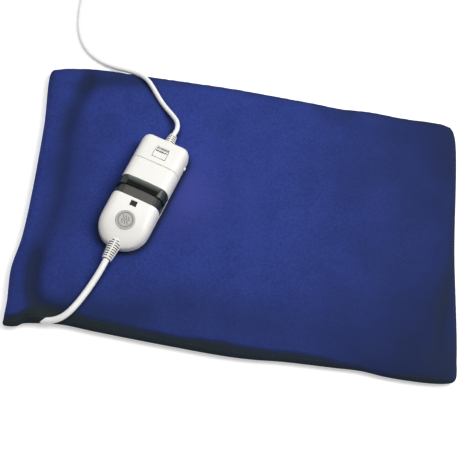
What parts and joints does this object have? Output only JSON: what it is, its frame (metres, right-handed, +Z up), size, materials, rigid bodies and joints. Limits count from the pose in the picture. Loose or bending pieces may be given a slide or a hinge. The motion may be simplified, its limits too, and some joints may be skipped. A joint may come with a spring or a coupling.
{
  "type": "electric heating pad with hand controller",
  "caption": "Flat rectangular fabric heating pad with a long rounded hand controller on a short lead, and a coiled mains lead with a flat plug.",
  "frame": {"origin": "centre of the footprint of the pad, on the resting surface, with the cords left out", "axes": "+X along the long side of the pad, +Y along its short side towards the end where the mains lead leaves, +Z up"},
  "size_m": [0.45, 0.5037, 0.0416],
  "materials": {
    "fleece": "short-pile fleece",
    "wadding": "loose fibre",
    "cloth": "woven",
    "wire": "matt",
    "white": "gloss",
    "cord": "satin",
    "dark": "gloss",
    "smoke": "gloss",
    "lens": "polished",
    "grey": "satin",
    "board": "satin",
    "steel": "satin",
    "brass": "satin",
    "black": "matt"
  },
  "bodies": {
    "pad_and_case": {"pad_cover_top": "fleece", "pad_cover_bottom": "fleece", "wadding_top": "wadding", "wadding_bottom": "wadding", "heater_cloth": "cloth", "heating_wire": "wire", "lead_splice": "white", "heat_limiter_1": "black", "heat_limiter_2": "black", "lead_entry_sleeve": "cord", "base_shell": "white", "end_cover": "white", "middle_cover": "white", "lower_cover": "white", "case_screw_1": "steel", "case_screw_2": "steel", "case_screw_3": "steel", "case_screw_4": "steel", "case_screw_5": "steel", "case_screw_6": "steel", "pad_relief": "cord", "mains_relief": "cord", "slider_track": "dark", "track_plate": "smoke", "detent_rack": "white", "window_lens": "lens", "emblem_disc": "grey", "button_spring": "steel", "push_switch": "black", "marker_plate": "dark", "circuit_board": "board", "fuse": "steel", "fuse_clip_1": "brass", "fuse_clip_2": "brass", "rectifier": "black", "mains_terminal": "grey", "pad_terminal": "grey", "mains_core_1": "wire", "mains_core_2": "wire", "pad_core_1": "wire", "pad_core_2": "wire", "pad_lead": "cord", "mains_lead": "cord", "mains_coil": "cord", "mains_tail": "cord", "coil_tie": "black", "plug_body": "cord", "plug_pin_1": "steel", "plug_pin_2": "steel"},
    "slider": {"heat_slider": "dark", "contact_carriage": "grey", "contact_wiper": "brass", "level_strip": "black", "detent_spring": "steel"},
    "button": {"power_button": "white"}
  },
  "joints": [
    {"name": "heat_slide", "type": "slide", "parent": "pad_and_case", "child": "slider", "axis": [-0.314, -0.9494, 0], "range_m": [0, 0.0108]},
    {"name": "power_press", "type": "slide", "parent": "pad_and_case", "child": "button", "axis": [0, 0, -1], "range_m": [0, 0.0012], "stiffness_N_per_m": 900, "springref_m": -0.0008, "deforming": ["button_spring"]}
  ]
}
